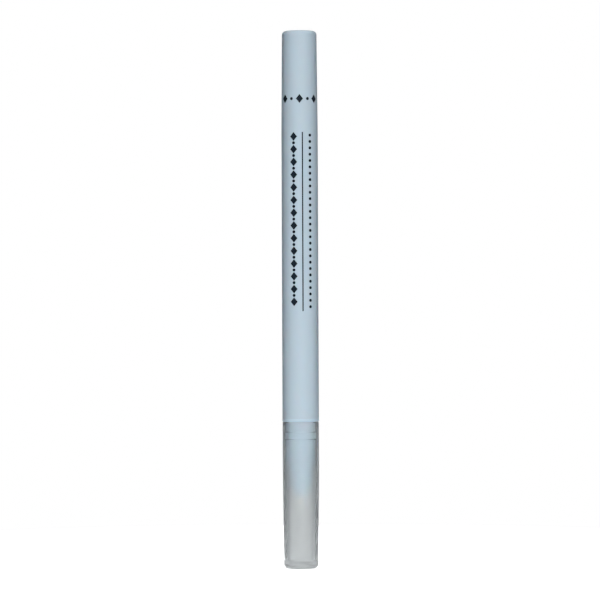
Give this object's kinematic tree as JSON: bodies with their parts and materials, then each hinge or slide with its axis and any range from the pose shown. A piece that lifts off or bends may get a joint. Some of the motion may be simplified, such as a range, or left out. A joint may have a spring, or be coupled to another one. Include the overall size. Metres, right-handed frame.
{
  "type": "nail polish corrector pen",
  "caption": "Slim round felt-nib pen for nail polish remover, with a frosted translucent pull-off cap that it stands on.",
  "frame": {"origin": "centre of the flat foot at the closed end of the cap, on which the pen stands", "axes": "+Z along the pen, from the cap's foot to the closed end of the barrel; +Y points away from the printed side"},
  "size_m": [0.0094, 0.0094, 0.14],
  "materials": {
    "barrel_plastic": "satin moulded polypropylene, pale blue",
    "front_section_plastic": "satin moulded polypropylene, pale blue",
    "cap_plastic": "frosted translucent natural polypropylene",
    "nib_felt": "bonded polyester felt, white",
    "reservoir_fibre": "bundled polyester fibre, soaked",
    "film_plastic": "clear thin film",
    "printed_ink": "pad-printed ink, blue black"
  },
  "bodies": {
    "cap": {"cap": "cap_plastic"},
    "pen": {"barrel": "barrel_plastic", "front_section": "front_section_plastic", "reservoir_core": "reservoir_fibre", "reservoir_film": "film_plastic"},
    "nib": {"nib": "nib_felt"}
  },
  "joints": [
    {"name": "cap_pull", "type": "slide", "parent": "cap", "child": "pen", "axis": [0, 0, 1], "range_m": [0, 0.04]},
    {"name": "nib_pull", "type": "slide", "parent": "pen", "child": "nib", "axis": [0, 0, -1], "range_m": [0, 0.0125]}
  ]
}
